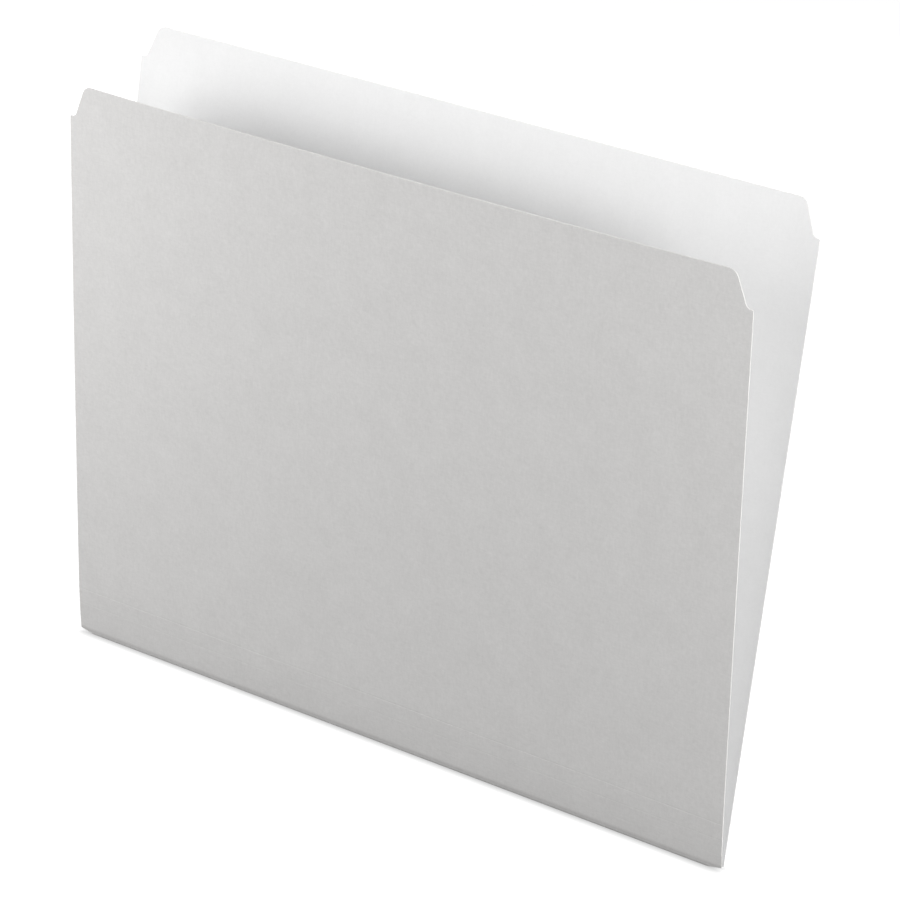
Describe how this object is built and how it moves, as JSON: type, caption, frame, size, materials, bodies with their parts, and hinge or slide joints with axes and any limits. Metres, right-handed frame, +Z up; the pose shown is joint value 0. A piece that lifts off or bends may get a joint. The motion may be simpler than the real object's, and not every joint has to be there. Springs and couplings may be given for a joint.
{
  "type": "file folder",
  "caption": "Letter-size grey paperboard file folder with a straight-cut tab along each leaf, part open on its fold; scores at the foot of the front leaf let it expand.",
  "frame": {"origin": "under the fold at the middle of its length, at the centre of the box's base", "axes": "+X along the fold, +Y from the front leaf to the back leaf, +Z up"},
  "size_m": [0.2954, 0.0442, 0.2403],
  "materials": {
    "leaf_board": "matte, fine fibre mottle, lighter on the inner face",
    "pressed_board": "matte, pressed"
  },
  "bodies": {
    "fold": {"main_crease": "pressed_board"},
    "back_leaf": {"back_panel": "leaf_board"},
    "strip_lower": {"front_strip_lower": "leaf_board", "score_crease_lower": "pressed_board"},
    "strip_middle": {"front_strip_middle": "leaf_board", "score_crease_middle": "pressed_board"},
    "strip_upper": {"front_strip_upper": "leaf_board", "score_crease_upper": "pressed_board"},
    "front_leaf": {"front_panel": "leaf_board"}
  },
  "joints": [
    {"name": "back_fold", "type": "hinge", "parent": "fold", "child": "back_leaf", "pos_m": [0, 0.00043, 0.0007], "axis": [-1, 0, 0], "range_deg": [-4, 85]},
    {"name": "cover_fold", "type": "hinge", "parent": "fold", "child": "strip_lower", "pos_m": [0, 0.00043, 0.0007], "axis": [1, 0, 0], "range_deg": [0, 81.3]},
    {"name": "score_lower", "type": "hinge", "parent": "strip_lower", "child": "strip_middle", "pos_m": [0, -0.00084, 0.00622], "axis": [1, 0, 0], "range_deg": [-2.1, 1.1]},
    {"name": "score_middle", "type": "hinge", "parent": "strip_middle", "child": "strip_upper", "pos_m": [0, -0.00168, 0.01252], "axis": [1, 0, 0], "range_deg": [-2.1, 1.1]},
    {"name": "score_upper", "type": "hinge", "parent": "strip_upper", "child": "front_leaf", "pos_m": [0, -0.0024, 0.01883], "axis": [1, 0, 0], "range_deg": [-2.1, 1.1]}
  ]
}
